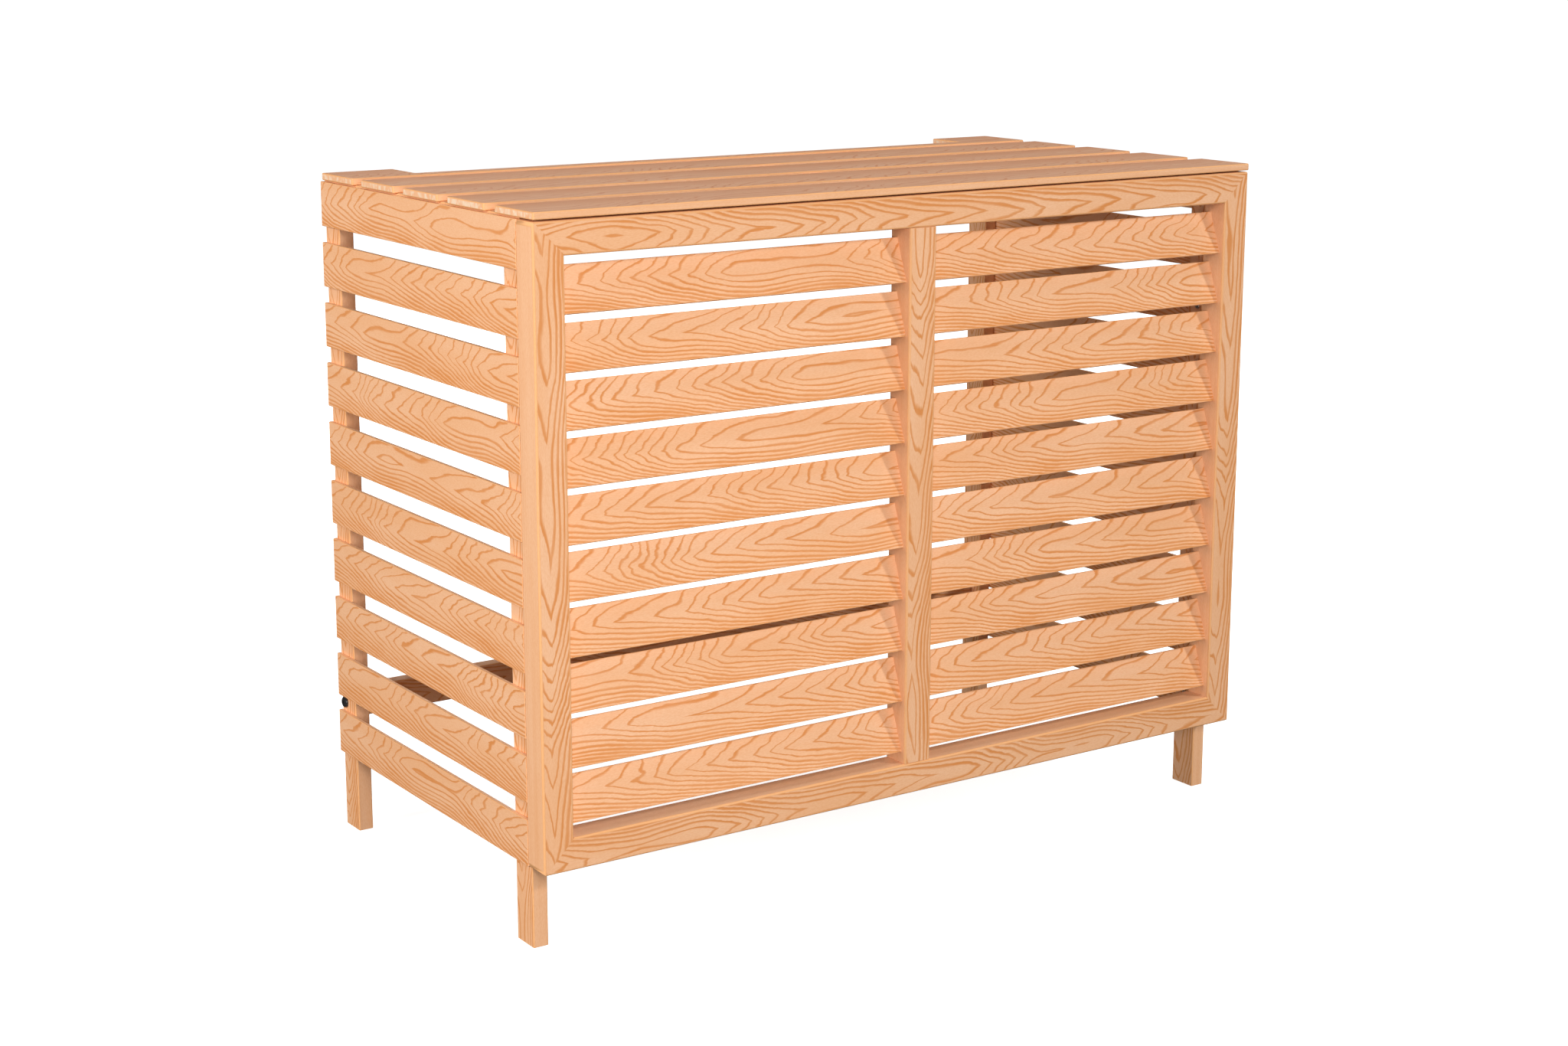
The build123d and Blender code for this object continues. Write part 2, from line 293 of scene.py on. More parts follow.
class StageSettings(bpy.types.PropertyGroup):
    """Camera, lights and floor."""

    camera_place: bpy.props.FloatVectorProperty(
        name="Camera", description="Where the camera stands", subtype="TRANSLATION", unit="LENGTH",
        default=(-1.8778, -2.7491, 1.1775),
    )
    heading: bpy.props.FloatProperty(
        name="Heading", description="How far the camera looks to the right", subtype="ANGLE",
        default=math.radians(33.79),
    )
    dip: bpy.props.FloatProperty(
        name="Dip", description="How far the camera looks down", subtype="ANGLE",
        default=math.radians(11.75),
    )
    lens: bpy.props.FloatProperty(
        name="Lens", description="Focal length on a 36 mm sensor", subtype="DISTANCE_CAMERA", default=58.5
    )
    shift_right: bpy.props.FloatProperty(
        name="Shift right", description="Sideways lens shift, as a share of the frame", default=0.0093
    )
    shift_up: bpy.props.FloatProperty(
        name="Shift up", description="Upward lens shift, as a share of the frame", default=-0.0396
    )
    floor_radius: bpy.props.FloatProperty(
        name="Floor", description="Radius of the pale floor", unit="LENGTH", default=9.0
    )
    floor_glow: bpy.props.FloatProperty(
        name="Floor glow", description="Light the floor gives off", default=0.70
    )
    room_radius: bpy.props.FloatProperty(
        name="Room", description="Radius of the white room", unit="LENGTH", default=30.0
    )
    room_glow: bpy.props.FloatProperty(
        name="Room glow", description="Brightness of the room", default=1.0
    )
    fill: bpy.props.FloatProperty(
        name="Fill", description="Strength of the even fill light", default=0.034
    )
    key_power: bpy.props.FloatProperty(
        name="Key light", description="Power of the small light on the right", unit="POWER", default=154.0
    )
    side_power: bpy.props.FloatProperty(
        name="Side light", description="Power of the broad light on the left", unit="POWER", default=176.0
    )
    low_power: bpy.props.FloatProperty(
        name="Low light", description="Power of the low light on the left", unit="POWER", default=18.0
    )
    far_power: bpy.props.FloatProperty(
        name="Right light", description="Power of the broad light on the right", unit="POWER", default=44.0
    )
    back_power: bpy.props.FloatProperty(
        name="Back light", description="Power of the broad light behind", unit="POWER", default=70.0
    )
    top_power: bpy.props.FloatProperty(
        name="Top light", description="Power of the light above", unit="POWER", default=22.0
    )
    front_power: bpy.props.FloatProperty(
        name="Front light", description="Power of the broad light ahead", unit="POWER", default=210.0
    )


# Modelling helpers


def deselect():
    """Leaves nothing selected, in object mode."""
    if bpy.context.object and bpy.context.object.mode != "OBJECT":
        bpy.ops.object.mode_set(mode="OBJECT")
    bpy.ops.object.select_all(action="DESELECT")


def activate(piece):
    """Makes one piece the only selected one."""
    deselect()
    piece.select_set(True)
    bpy.context.view_layer.objects.active = piece


def settle(piece):
    """Puts a piece's place, turn and scale into its mesh."""
    activate(piece)
    bpy.ops.object.transform_apply(location=True, rotation=True, scale=True)


def add_block(name, low, high):
    """A block between two corners."""
    deselect()
    bpy.ops.mesh.primitive_cube_add(size=1, location=(low + high) / 2, scale=high - low)
    piece = bpy.context.object
    piece.name = name
    piece.data.name = name
    settle(piece)
    return piece


def edges_along(mesh, axis):
    """Edges of an open edit mesh that run along an axis."""
    found = []
    for edge in mesh.edges:
        run = (edge.verts[1].co - edge.verts[0].co).normalized()
        if abs(run[AXES[axis]]) > STRAIGHT:
            found.append(edge)
    return found


def edges_of_ends(mesh, axis):
    """Edges round the two end faces of a bar that runs along an axis."""
    ends = [face for face in mesh.faces if abs(face.normal[AXES[axis]]) > STRAIGHT]
    return {edge for face in ends for edge in face.edges}


def bevel(piece, pick, width, segments):
    """Bevels the edges that pick returns from the open edit mesh."""
    activate(piece)
    bpy.ops.object.mode_set(mode="EDIT")
    bpy.ops.mesh.select_mode(type="EDGE")
    bpy.ops.mesh.select_all(action="DESELECT")
    mesh = bmesh.from_edit_mesh(piece.data)
    for edge in pick(mesh):
        edge.select_set(True)
    bmesh.update_edit_mesh(piece.data)
    bpy.ops.mesh.bevel(offset=width, segments=segments, profile=0.5, affect="EDGES")
    bpy.ops.object.mode_set(mode="OBJECT")


def cut_away(piece, point, outward):
    """Cuts a piece at a plane, drops what lies outside and closes the cut."""
    activate(piece)
    bpy.ops.object.mode_set(mode="EDIT")
    bpy.ops.mesh.select_all(action="SELECT")
    bpy.ops.mesh.bisect(plane_co=point, plane_no=outward, use_fill=True, clear_outer=True)
    bpy.ops.object.mode_set(mode="OBJECT")


def round_corner(piece, corner, radius):
    """Rounds an outline corner of the front frame, seen from the front, with cuts that touch its arc."""
    inward_x = math.copysign(1.0, -corner[0])
    inward_z = 1.0 if corner[2] < CENTRE.z else -1.0
    centre = Vector((corner[0] + inward_x * radius, corner[1], corner[2] + inward_z * radius))
    for step in range(1, CORNER_CUTS + 1):
        angle = math.radians(90.0) * step / (CORNER_CUTS + 1)
        outward = Vector((-inward_x * math.cos(angle), 0.0, -inward_z * math.sin(angle)))
        cut_away(piece, centre + outward * radius, outward)


def carve(piece, cutters):
    """Cuts the shapes of other pieces out of a piece."""
    for cutter in cutters:
        activate(piece)
        modifier = piece.modifiers.new("housing", "BOOLEAN")
        modifier.object = cutter
        modifier.operation = "DIFFERENCE"
        modifier.solver = "EXACT"
        bpy.ops.object.modifier_apply(modifier=modifier.name)


def smooth_edges(piece):
    """Smooth eased edges beside flat faces."""
    activate(piece)
    bpy.ops.object.shade_smooth_by_angle(angle=SMOOTH_ANGLE)
    modifier = piece.modifiers.new("flat faces", "WEIGHTED_NORMAL")
    modifier.keep_sharp = True
    bpy.ops.object.modifier_apply(modifier=modifier.name)


def copy_piece(source, name):
    """A copy of a piece with a mesh of its own."""
    piece = source.copy()
    piece.data = source.data.copy()
    piece.name = name
    piece.data.name = name
    bpy.context.scene.collection.objects.link(piece)
    return piece


# Grain: a map in metres, u towards the tips of the flames and v towards their close side


def along_axis(axis, size=1.0):
    """A vector of a size along one axis, given as a number."""
    return Vector([size if each == axis else 0.0 for each in range(3)])


def lay_grain(piece, tips, figured, seed):
    """Lays the grain over a member; its flames point to tips, and its wide faces look along figured."""
    mesh = piece.data
    mesh.uv_layers.new(name=GRAIN_MAP)
    for name in (FIGURE, EASED, SAWN):
        mesh.attributes.new(name, "FLOAT", "FACE")
    grain = mesh.uv_layers[GRAIN_MAP]
    figure, eased, sawn = (mesh.attributes[name] for name in (FIGURE, EASED, SAWN))
    draw = random.Random(seed)
    start = draw.uniform(0.0, GRAIN_STOCK)
    run = Vector(tips)
    corners = [Vector(corner) for corner in piece.bound_box]
    centre = sum(corners, Vector()) / len(corners)
    for face in mesh.polygons:
        main = max(range(3), key=lambda axis: abs(face.normal[axis]))
        flat = abs(face.normal[main]) > STRAIGHT
        outward = along_axis(main, math.copysign(1.0, face.normal[main]))
        end = abs(outward.dot(run)) > STRAIGHT
        along = along_axis(AXES[figured]) if end else run
        across = outward.cross(along)
        lane = start + FACE_STEP * main
        if face.normal[main] < 0:
            lane += FACE_STEP / 2
        figure.data[face.index].value = float(flat and main == AXES[figured])
        eased.data[face.index].value = float(not flat)
        sawn.data[face.index].value = float(flat and end)
        for loop in face.loop_indices:
            place = mesh.vertices[mesh.loops[loop].vertex_index].co - centre
            grain.data[loop].uv = (place.dot(along) + lane, place.dot(across))


# Materials


class Weaver:
    """Short calls that add nodes to a material."""

    def __init__(self, name):
        self.material = bpy.data.materials.new(name)
        self.material.use_nodes = True
        self.tree = self.material.node_tree
        self.tree.nodes.clear()
        self.output = self.tree.nodes.new("ShaderNodeOutputMaterial")
        self.shader = self.tree.nodes.new("ShaderNodeBsdfPrincipled")
        self.tree.links.new(self.shader.outputs["BSDF"], self.output.inputs["Surface"])

    def put(self, value, socket):
        """Links a socket or sets a value."""
        if isinstance(value, bpy.types.NodeSocket):
            self.tree.links.new(value, socket)
        else:
            socket.default_value = value

    def math(self, operation, first, second=0.0):
        node = self.tree.nodes.new("ShaderNodeMath")
        node.operation = operation
        for value, socket in zip((first, second), node.inputs):
            self.put(value, socket)
        return node.outputs[0]

    def add(self, first, second):
        return self.math("ADD", first, second)

    def times(self, first, second):
        return self.math("MULTIPLY", first, second)

    def vector(self, x, y, z):
        node = self.tree.nodes.new("ShaderNodeCombineXYZ")
        for value, socket in zip((x, y, z), node.inputs):
            self.put(value, socket)
        return node.outputs[0]

    def noise(self, place, noise):
        """Noise around zero, stretched along the grain."""
        along, across = place
        point = self.vector(self.times(along, noise.along), self.times(across, noise.across), noise.layer)
        node = self.tree.nodes.new("ShaderNodeTexNoise")
        node.inputs["Scale"].default_value = 1.0
        node.inputs["Detail"].default_value = noise.detail
        self.put(point, node.inputs["Vector"])
        return self.math("SUBTRACT", node.outputs["Fac"], 0.5)

    def swing(self, place, swing):
        """Noise around zero, brought to its size."""
        return self.times(self.noise(place, swing.noise), swing.size)

    def spots(self, place, spots):
        """Noise that rises from nothing at its start level to one at its full level."""
        level = self.add(self.noise(place, spots.noise), 0.5)
        return self.ramp(level, ((spots.start, 0.0), (spots.full, 1.0)))

    def ring_chance(self, rings):
        """A steady chance value for each ring."""
        node = self.tree.nodes.new("ShaderNodeTexWhiteNoise")
        node.noise_dimensions = "1D"
        self.put(self.math("FLOOR", rings), node.inputs["W"])
        return node.outputs["Value"]

    def ramp(self, value, stops):
        """A grey ramp through stops given as (position, level)."""
        node = self.tree.nodes.new("ShaderNodeValToRGB")
        points = node.color_ramp.elements
        while len(points) < len(stops):
            points.new(1.0)
        for point, (position, level) in zip(points, stops):
            point.position = position
            point.color = (level, level, level, 1.0)
        self.put(value, node.inputs["Fac"])
        return node.outputs["Color"]

    def mix(self, share, first, second):
        node = self.tree.nodes.new("ShaderNodeMix")
        node.data_type = "RGBA"
        self.put(share, node.inputs["Factor"])
        colours = [socket for socket in node.inputs if socket.type == "RGBA"]
        self.put(first, colours[0])
        self.put(second, colours[1])
        return node.outputs[2]

    def attribute(self, name):
        node = self.tree.nodes.new("ShaderNodeAttribute")
        node.attribute_name = name
        return node.outputs["Fac"]

    def grain_place(self):
        node = self.tree.nodes.new("ShaderNodeUVMap")
        node.uv_map = GRAIN_MAP
        split = self.tree.nodes.new("ShaderNodeSeparateXYZ")
        self.tree.links.new(node.outputs["UV"], split.inputs[0])
        return split.outputs[0], split.outputs[1]

    def bump(self, height, distance, strength):
        node = self.tree.nodes.new("ShaderNodeBump")
        node.inputs["Distance"].default_value = distance
        node.inputs["Strength"].default_value = strength
        self.put(height, node.inputs["Height"])
        self.tree.links.new(node.outputs["Normal"], self.shader.inputs["Normal"])


def flame_strokes(weaver, place, thickness, pace):
    """Late wood drawn as nested flames: close arms on one side of the spine, open strokes on the other."""
    add = weaver.add
    times = weaver.times
    along, across = place
    run = add(add(along, weaver.swing(place, WAVE)), weaver.swing(place, SHIVER))
    offset = add(add(across, SPINE_OFFSET), weaver.swing(place, WANDER))
    close = weaver.math("MAXIMUM", offset, 0.0)
    wide = weaver.math("MAXIMUM", times(offset, -1.0), 0.0)
    bend = times(times(close, close), CLOSE_ARM_BEND)
    arms = add(add(times(close, CLOSE_ARM_SLOPE), bend), times(wide, OPEN_ARM_SLOPE))
    turn = weaver.swing((run, across), TURN)
    next_turn = weaver.swing((add(run, SLOPE_STEP), across), TURN)
    rings = add(add(times(run, pace), turn), add(arms, weaver.swing(place, CURL)))
    steepness = add(times(weaver.math("SUBTRACT", next_turn, turn), 1.0 / SLOPE_STEP), pace)
    spread = add(times(close, CLOSE_CROWDING), LEAST_CROWDING)
    crowding = weaver.math("MAXIMUM", weaver.math("ABSOLUTE", steepness), spread)
    fibre = weaver.noise(place, FIBRE)
    signed = weaver.math("SUBTRACT", weaver.math("FRACT", rings), 0.5)
    distance = add(weaver.math("DIVIDE", signed, crowding), times(fibre, FRAYING))
    breadth = add(weaver.swing(place, BREADTH), thickness)
    breadth = add(breadth, times(weaver.ring_chance(rings), RING_BREADTH))
    reach = add(times(weaver.math("DIVIDE", distance, breadth), STROKE_REACH), 0.5)
    return weaver.ramp(reach, STROKE_PROFILE), fibre


def wood_material(name, shade=0.0, strength=1.0, thickness=0.0016, pace=28.0):
    """Satin wood: flames on the wide faces, plain fine lines on the others, dry pale sawn ends, and a
    painted sheen and shade on the wide faces when shade is given.
    """
    wood = bpy.context.scene.cover_wood
    base, pale, line, edge, sawn, painted_sheen = (
        (*colour, 1.0) for colour in (wood.base, wood.pale, wood.line, wood.edge, wood.sawn, wood.painted_sheen)
    )
    weaver = Weaver(name)
    add = weaver.add
    times = weaver.times
    place = weaver.grain_place()
    stroke, fibre = flame_strokes(weaver, place, thickness, pace)
    figure = weaver.attribute(FIGURE)
    uneven = add(STROKE_STRENGTH, weaver.swing(place, UNEVEN))
    flames = times(times(stroke, uneven), strength)
    straw = times(weaver.spots(place, STRAW), STRAW_STRENGTH)
    plain = times(straw, weaver.math("SUBTRACT", 1.0, figure))
    lines = add(times(flames, figure), plain)
    pores = weaver.spots(place, PORES)
    coloured = weaver.mix(weaver.spots(place, PATCHES), base, pale)
    coloured = weaver.mix(times(pores, PORE_STRENGTH), coloured, line)
    coloured = weaver.mix(lines, coloured, line)
    coloured = weaver.mix(times(weaver.attribute(EASED), EDGE_STRENGTH), coloured, edge)
    dry = times(times(weaver.spots(place, DRY), DRY_STRENGTH), weaver.attribute(SAWN))
    coloured = weaver.mix(dry, coloured, sawn)
    # Painted sheen and shade: the wide faces (the boards' top and bottom faces) take a greyer, pinker,
    # darker colour standing in for grazing reflection and dimmer light
    if shade:
        coloured = weaver.mix(times(figure, shade), coloured, painted_sheen)
    weaver.put(coloured, weaver.shader.inputs["Base Color"])
    gloss = add(add(wood.roughness, times(lines, LINE_DULLNESS)), times(dry, DRY_DULLNESS))
    weaver.put(add(gloss, times(fibre, FIBRE_DULLNESS)), weaver.shader.inputs["Roughness"])
    relief = add(times(lines, LINE_RELIEF), times(pores, PORE_RELIEF))
    weaver.bump(add(relief, times(fibre, FIBRE_RELIEF)), **WOOD_RELIEF)
    return weaver.material


def metal_material(name, metal):
    """Bolt or screw metal with dull patches."""
    weaver = Weaver(name)
    node = weaver.tree.nodes.new("ShaderNodeTexCoord")
    split = weaver.tree.nodes.new("ShaderNodeSeparateXYZ")
    weaver.tree.links.new(node.outputs["Object"], split.inputs[0])
    place = (split.outputs[1], split.outputs[2])
    patches = weaver.add(weaver.noise(place, DULL_PATCHES), 0.5)
    lighter = [min(1.0, channel * PATCH_BRIGHTENING + PATCH_LIFT) for channel in metal.colour]
    coloured = weaver.mix(patches, (*metal.colour, 1.0), (*lighter, 1.0))
    weaver.put(coloured, weaver.shader.inputs["Base Color"])
    weaver.shader.inputs["Metallic"].default_value = metal.metallic
    gloss = weaver.add(metal.roughness + GLOSSIER, weaver.times(patches, PATCH_DULLNESS))
    weaver.put(gloss, weaver.shader.inputs["Roughness"])
    weaver.bump(patches, **METAL_RELIEF)
    return weaver.material


def material_for(slot):
    """The finish of a slot, made the first time it is asked for."""
    name = f"{slot}_finish"
    if name in bpy.data.materials:
        return bpy.data.materials[name]
    if slot in METALS:
        return metal_material(name, METALS[slot])
    return wood_material(name, **WOODS.get(slot, {}))


def dress(piece, slot):
    """Gives a piece the finish of a slot and no other."""
    piece.data.materials.clear()
    piece.data.materials.append(material_for(slot))


def fit(piece, node, slot):
    """Smooths a finished piece, and gives it its finish and its place in the model."""
    smooth_edges(piece)
    dress(piece, slot)
    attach(piece, BODY)
    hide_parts(node)


# Members


def straight_member(name, low, high, along, easing):
    """A straight bar between two corners, eased along its edges and finely at its ends."""
    shape = bpy.context.scene.cover_shape
    piece = add_block(name, low, high)
    bevel(piece, lambda mesh: edges_along(mesh, along), easing, EASING_STEPS)
    bevel(piece, lambda mesh: edges_of_ends(mesh, along), shape.end_easing, END_STEPS)
    return piece


def move_mesh(piece, step):
    """Moves a copied piece, and puts the move into its mesh."""
    piece.location = step
    settle(piece)


def numbered_nodes(kind):
    """The nodes of a kind of member that both sides have, from the top left."""
    return [f"{side}_{kind}_{index + 1:02d}" for side in SIDES for index in range(MEMBER_COUNT)]


def middle_of(node):
    """The middle of a node's box."""
    low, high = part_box(node)
    return (low + high) / 2


def place_copies(master, nodes, tips, figured, seed, slot):
    """Copies a member that was made at the first node's place to all the nodes."""
    for index, node in enumerate(nodes):
        piece = copy_piece(master, f"{node}_wood")
        move_mesh(piece, middle_of(node) - middle_of(nodes[0]))
        lay_grain(piece, tips, figured, seed + index)
        fit(piece, node, slot)
    bpy.data.objects.remove(master)


class COVER_OT_louvres(bpy.types.Operator):
    """Make one louvre, lean it back and copy it down both bays"""

    bl_idname = "cover.louvres"
    bl_label = "Louvres"

    def execute(self, context):
        shape = context.scene.cover_shape
        nodes = numbered_nodes("louvre")
        low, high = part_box(nodes[0])
        slat_low, slat_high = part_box(numbered_nodes("side_slat")[0])
        half = Vector((high.x - low.x, slat_high.x - slat_low.x, slat_high.z - slat_low.z)) / 2
        master = straight_member("louvre_master", -half, half, "X", shape.slat_easing)
        for index, node in enumerate(nodes):
            piece = copy_piece(master, f"{node}_wood")
            lay_grain(piece, LEFTWARD, "Y", LOUVRE_SEED + index)
            piece.rotation_euler = Euler((-shape.louvre_tilt, 0, 0))
            piece.location = middle_of(node)
            settle(piece)
            fit(piece, node, "louvre_wood")
        bpy.data.objects.remove(master)
        return {"FINISHED"}


class COVER_OT_front_frame(bpy.types.Operator):
    """Make the four mitred frame members and the middle post, housed for the louvres"""

    bl_idname = "cover.front_frame"
    bl_label = "Front frame"

    def execute(self, context):
        shape = context.scene.cover_shape
        easing = shape.frame_easing
        louvres = [bpy.data.objects[f"{node}_wood"] for node in numbered_nodes("louvre")]
        bays = {"left": louvres[:MEMBER_COUNT], "right": louvres[MEMBER_COUNT:]}
        left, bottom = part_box("front_bottom_rail")[0].xz
        right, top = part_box("front_top_rail")[1].xz
        for index, (side, outer) in enumerate(zip(SIDES, (left, right))):
            node = f"front_{side}_stile"
            low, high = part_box(node)
            inward = math.copysign(1.0, -outer)
            piece = add_block(f"{node}_wood", low, high)
            bevel(piece, lambda mesh: edges_along(mesh, "Z"), easing, FRAME_EASING_STEPS)
            cut_away(piece, (outer, low.y, top), (inward, 0, 1))
            cut_away(piece, (outer, low.y, bottom), (inward, 0, -1))
            for level in (top, bottom):
                round_corner(piece, (outer, low.y, level), shape.frame_corner)
            lay_grain(piece, DOWNWARD, "Y", STILE_SEED + index)
            carve(piece, bays[side])
            fit(piece, node, "frame_wood")
        for index, (name, outer, outward) in enumerate((("top", top, 1), ("bottom", bottom, -1))):
            node = f"front_{name}_rail"
            low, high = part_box(node)
            piece = add_block(f"{node}_wood", low, high)
            bevel(piece, lambda mesh: edges_along(mesh, "X"), easing, FRAME_EASING_STEPS)
            cut_away(piece, (right, low.y, outer), (1, 0, -outward))
            cut_away(piece, (left, low.y, outer), (-1, 0, -outward))
            for side in (left, right):
                round_corner(piece, (side, low.y, outer), shape.frame_corner)
            lay_grain(piece, RIGHTWARD, "Y", FRAME_RAIL_SEED + index)
            fit(piece, node, "frame_wood")
        piece = straight_member("middle_post_wood", *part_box("middle_post"), "Z", easing)
        lay_grain(piece, DOWNWARD, "Y", POST_SEED)
        carve(piece, louvres)
        fit(piece, "middle_post", "frame_wood")
        return {"FINISHED"}


class COVER_OT_side_slats(bpy.types.Operator):
    """Make one side slat and copy it down both sides"""

    bl_idname = "cover.side_slats"
    bl_label = "Side slats"

    def execute(self, context):
        nodes = numbered_nodes("side_slat")
        easing = context.scene.cover_shape.slat_easing
        master = straight_member("slat_master", *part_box(nodes[0]), "Y", easing)
        place_copies(master, nodes, REARWARD, "X", SLAT_SEED, "slat_wood")
        return {"FINISHED"}


class COVER_OT_legs(bpy.types.Operator):
    """Make one leg and copy it to the four corners"""

    bl_idname = "cover.legs"
    bl_label = "Legs"

    def execute(self, context):
        nodes = [f"{row}_{side}_leg" for row in ROWS for side in SIDES]
        easing = context.scene.cover_shape.batten_easing
        master = straight_member("leg_master", *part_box(nodes[0]), "Z", easing)
        place_copies(master, nodes, DOWNWARD, "X", LEG_SEED, "batten_wood")
        return {"FINISHED"}


class COVER_OT_rails(bpy.types.Operator):
    """Make the rear rails and the bearers under the top boards"""

    bl_idname = "cover.rails"
    bl_label = "Rear rails and bearers"

    def execute(self, context):
        easing = context.scene.cover_shape.batten_easing
        members = (
            ("rear_lower_rail", "X", RIGHTWARD, "Y"),
            ("rear_upper_rail", "X", RIGHTWARD, "Z"),
            ("middle_bearer", "Y", REARWARD, "Z"),
        )
        for index, (node, along, tips, figured) in enumerate(members):
            piece = straight_member(f"{node}_wood", *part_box(node), along, easing)
            lay_grain(piece, tips, figured, RAIL_SEED + index)
            fit(piece, node, "batten_wood")
        make_side_bearers(easing)
        return {"FINISHED"}


def make_side_bearers(easing):
    """The pair of bearers on the leg tops, as one piece."""
    low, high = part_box("side_bearers")
    middle_low, middle_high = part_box("middle_bearer")
    width = middle_high.x - middle_low.x
    left = straight_member("side_bearers_wood", low, Vector((low.x + width, high.y, high.z)), "Y", easing)
    right = copy_piece(left, "right_bearer")
    move_mesh(right, Vector((high.x - low.x - width, 0, 0)))
    lay_grain(left, REARWARD, "Z", BEARER_SEED)
    lay_grain(right, REARWARD, "Z", BEARER_SEED + 1)
    activate(left)
    right.select_set(True)
    bpy.ops.object.join()
    fit(left, "side_bearers", "batten_wood")


class COVER_OT_top_boards(bpy.types.Operator):
    """Make one top board and copy it back, then notch the rear one"""

    bl_idname = "cover.top_boards"
    bl_label = "Top boards"

    def execute(self, context):
        nodes = [f"top_board_{index + 1}" for index in range(BOARD_COUNT)]
        master = add_block("board_master", *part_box(nodes[0]))
        for index, node in enumerate(nodes):
            piece = copy_piece(master, f"{node}_wood")
            move_mesh(piece, middle_of(node) - middle_of(nodes[0]))
            if node == nodes[-1]:
                cut_notch(piece)
            ease_board(piece, context.scene.cover_shape)
            lay_grain(piece, RIGHTWARD, "Z", BOARD_SEED + index)
            fit(piece, node, "board_wood")
        bpy.data.objects.remove(master)
        return {"FINISHED"}


def ease_board(piece, shape):
    """Rounds a board's corners, then its top and bottom edges."""
    bevel(piece, lambda mesh: edges_along(mesh, "Z"), shape.board_corner, BOARD_CORNER_STEPS)
    bevel(piece, lambda mesh: edges_of_ends(mesh, "Z"), shape.board_easing, EASING_STEPS)


def cut_notch(piece):
    """Cuts the pipe notch into the back edge of the rear board."""
    shape = bpy.context.scene.cover_shape
    corners = [Vector(corner) for corner in piece.bound_box]
    low, high = (min(corners, key=sum), max(corners, key=sum))
    over = high.z - low.z
    front = Vector((low.x + shape.lug_width, low.y + shape.strip_width, low.z - over))
    back = Vector((high.x - shape.lug_width, high.y + high.y - low.y, high.z + over))
    cutter = add_block("notch_cutter", front, back)
    carve(piece, [cutter])
    bpy.data.objects.remove(cutter)


class COVER_OT_fasteners(bpy.types.Operator):
    """Give the bolts and screws their metal"""

    bl_idname = "cover.fasteners"
    bl_label = "Bolts and screws"

    def execute(self, context):
        for node, slot in (("assembly_bolts", "black_steel"), ("inside_screws", "screw_steel")):
            dress(frame["nodes"][node], slot)
        return {"FINISHED"}


# Stage


class COVER_OT_stage(bpy.types.Operator):
    """Set the pale floor, the soft lights and the camera"""

    bl_idname = "cover.stage"
    bl_label = "Stage"

    def execute(self, context):
        stage = context.scene.cover_stage
        make_room(stage)
        make_lights(stage)
        make_camera(context.scene, stage)
        return {"FINISHED"}


def make_room(stage):
    """A pale round floor in an even white room that adds little light of its own."""
    deselect()
    bpy.ops.mesh.primitive_circle_add(vertices=FLOOR_SIDES, radius=stage.floor_radius, fill_type="NGON")
    floor = bpy.context.object
    floor.name = "pale_floor"
    floor.data.materials.append(glowing_material("pale_floor", stage.floor_glow, stage.floor_radius / 2))
    deselect()
    bpy.ops.mesh.primitive_uv_sphere_add(
        segments=ROOM_SEGMENTS, ring_count=ROOM_RINGS, radius=stage.room_radius
    )
    room = bpy.context.object
    room.name = "white_room"
    room.data.materials.append(glowing_material("white_room", stage.room_glow, 0.0))
    room.visible_shadow = False
    for piece in (floor, room):
        piece.visible_diffuse = False
        piece.visible_glossy = False
    world = bpy.data.worlds.new("soft_fill")
    world.use_nodes = True
    background = world.node_tree.nodes["Background"]
    background.inputs["Color"].default_value = WHITE
    background.inputs["Strength"].default_value = stage.fill
    bpy.context.scene.world = world
    bpy.context.scene.view_settings.view_transform = "Standard"


def glowing_material(name, glow, fade):
    """A matt white that glows a little in the middle and fully beyond the fade distance."""
    weaver = Weaver(name)
    weaver.shader.inputs["Base Color"].default_value = MATT_WHITE
    weaver.shader.inputs["Roughness"].default_value = 1.0
    weaver.shader.inputs["Specular IOR Level"].default_value = 0.0
    weaver.shader.inputs["Emission Color"].default_value = WHITE
    weaver.shader.inputs["Emission Strength"].default_value = glow
    if fade:
        reach = weaver.tree.nodes.new("ShaderNodeVectorMath")
        reach.operation = "LENGTH"
        place = weaver.tree.nodes.new("ShaderNodeTexCoord")
        weaver.tree.links.new(place.outputs["Object"], reach.inputs[0])
        share = weaver.math("MINIMUM", weaver.math("DIVIDE", reach.outputs["Value"], fade), 1.0)
        rise = weaver.times(share, 1.0 - glow)
        weaver.put(weaver.add(rise, glow), weaver.shader.inputs["Emission Strength"])
    return weaver.material


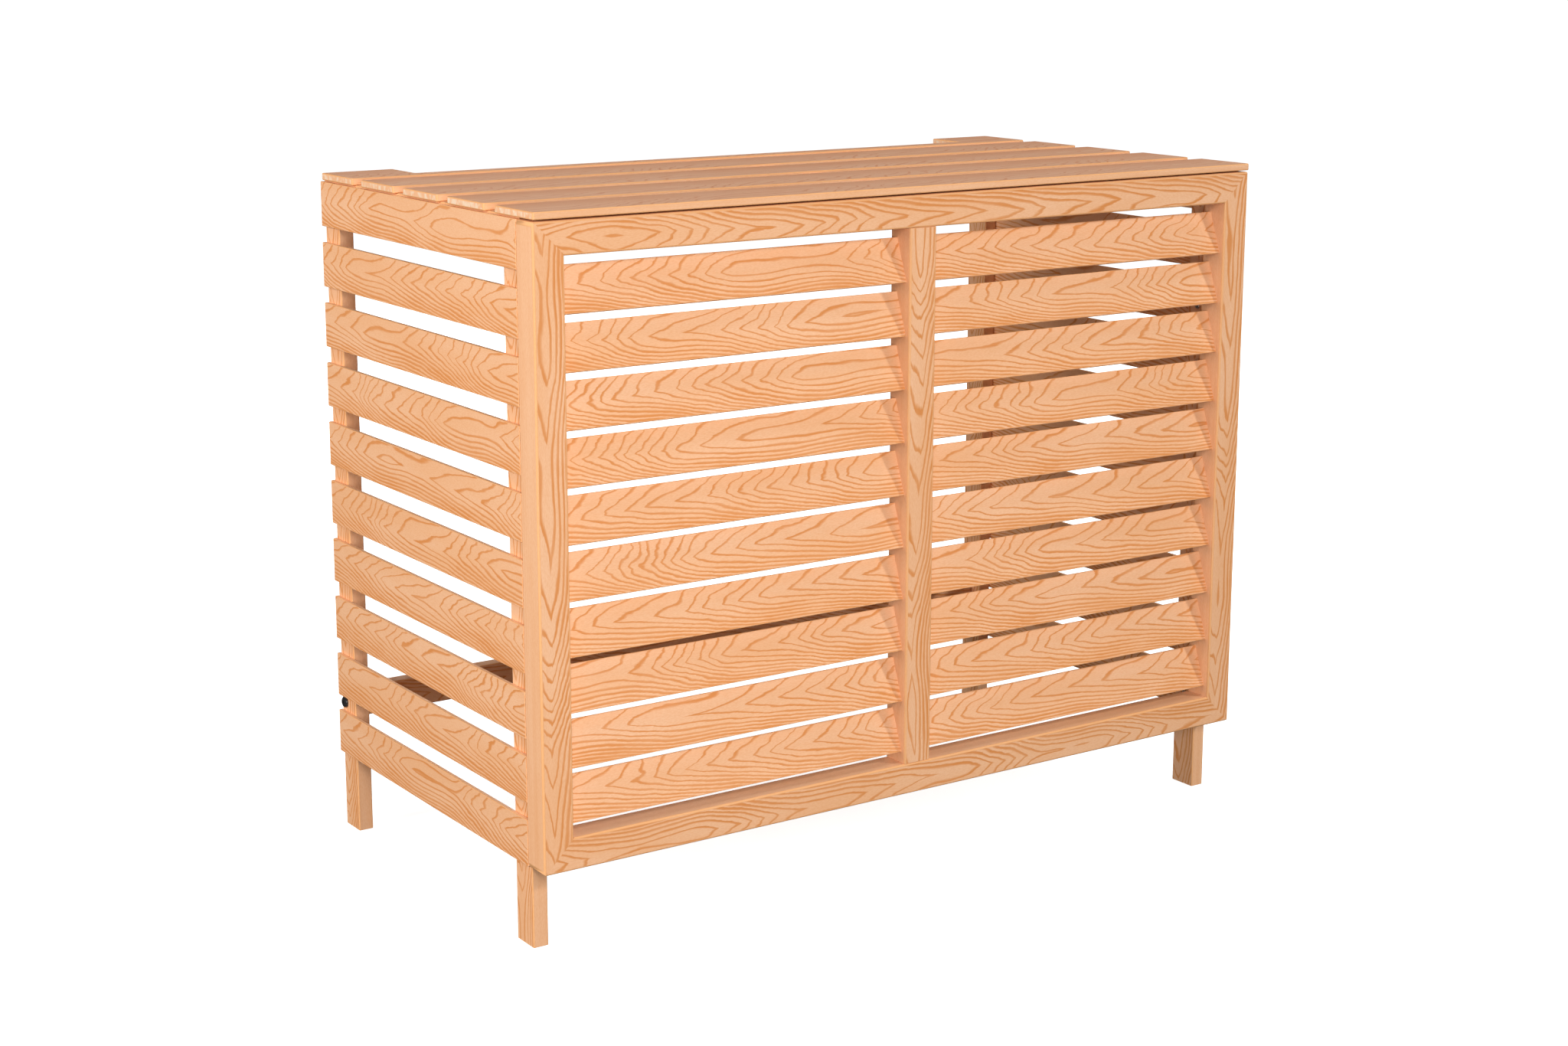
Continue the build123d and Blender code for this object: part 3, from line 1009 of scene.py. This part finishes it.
def make_lights(stage):
    """The soft lights, which all face the middle of the cover."""
    for box in SOFTBOXES:
        turn = math.radians(box.turn)
        height = math.radians(box.height)
        level = Vector((math.sin(turn), -math.cos(turn), 0.0)) * math.cos(height)
        place = CENTRE + (level + Vector((0, 0, math.sin(height)))) * box.distance
        data = bpy.data.lights.new(box.name, "AREA")
        data.shape = "RECTANGLE"
        data.size = box.width
        data.size_y = box.tall
        data.energy = getattr(stage, box.power)
        data.color = box.colour
        light = bpy.data.objects.new(box.name, data)
        light.location = place
        light.rotation_euler = (CENTRE - place).to_track_quat("-Z", "Y").to_euler()
        light.visible_camera = False
        light.visible_glossy = box.mirrored
        bpy.context.scene.collection.objects.link(light)


def make_camera(scene, stage):
    """The camera, left of the front and a little above."""
    data = bpy.data.cameras.new("camera")
    data.lens = stage.lens
    data.sensor_width = SENSOR_WIDTH
    data.shift_x = stage.shift_right
    data.shift_y = stage.shift_up
    camera = bpy.data.objects.new("camera", data)
    camera.location = stage.camera_place
    camera.rotation_euler = Euler((math.pi / 2 - stage.dip, 0, -stage.heading))
    scene.collection.objects.link(camera)
    scene.camera = camera


class COVER_PT_panel(bpy.types.Panel):
    """Buttons for every kind of member"""

    bl_idname = "COVER_PT_panel"
    bl_label = "Cover"
    bl_space_type = "VIEW_3D"
    bl_region_type = "UI"
    bl_category = "Cover"

    def draw(self, context):
        for operator in OPERATORS:
            self.layout.operator(operator.bl_idname)


OPERATORS = (
    COVER_OT_louvres,
    COVER_OT_front_frame,
    COVER_OT_side_slats,
    COVER_OT_legs,
    COVER_OT_rails,
    COVER_OT_top_boards,
    COVER_OT_fasteners,
    COVER_OT_stage,
)
SETTINGS = (WoodSettings, ShapeSettings, StageSettings)


def register():
    for made in (*SETTINGS, *OPERATORS, COVER_PT_panel):
        bpy.utils.register_class(made)
    bpy.types.Scene.cover_wood = bpy.props.PointerProperty(type=WoodSettings)
    bpy.types.Scene.cover_shape = bpy.props.PointerProperty(type=ShapeSettings)
    bpy.types.Scene.cover_stage = bpy.props.PointerProperty(type=StageSettings)


def unregister():
    del bpy.types.Scene.cover_stage
    del bpy.types.Scene.cover_shape
    del bpy.types.Scene.cover_wood
    for made in reversed((*SETTINGS, *OPERATORS, COVER_PT_panel)):
        bpy.utils.unregister_class(made)


def main():
    register()
    for operator in OPERATORS:
        group, name = operator.bl_idname.split(".")
        getattr(getattr(bpy.ops, group), name)()
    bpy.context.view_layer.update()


if __name__ == "__main__":
    main()
